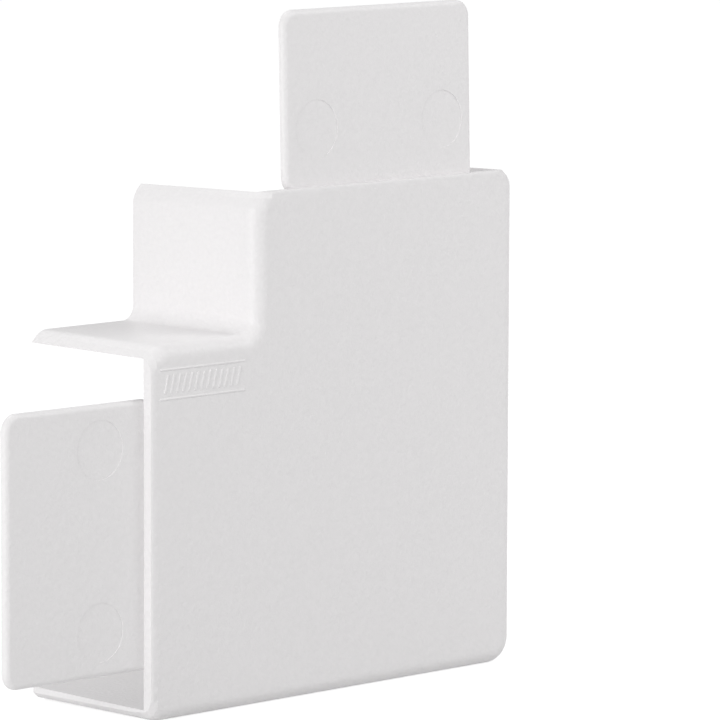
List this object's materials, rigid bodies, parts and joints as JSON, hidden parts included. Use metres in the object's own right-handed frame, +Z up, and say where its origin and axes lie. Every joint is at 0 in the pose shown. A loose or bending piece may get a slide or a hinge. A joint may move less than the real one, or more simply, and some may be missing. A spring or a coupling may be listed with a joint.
{
  "type": "trunking flat angle",
  "caption": "L-shaped moulded cover for a flat corner between runs of wall trunking, open at its ends and back, with a thin tongue at each end that goes in behind the lid.",
  "frame": {"origin": "middle of the footprint, at the level on which the cover stands", "axes": "+Z up, along the upper arm; -X along the side arm; +Y from the front wall to the wall behind"},
  "size_m": [0.1212, 0.0314, 0.1213],
  "materials": {
    "moulding": "satin white, as moulded"
  },
  "bodies": {
    "root": {"angle_cover": "moulding"}
  },
  "joints": []
}
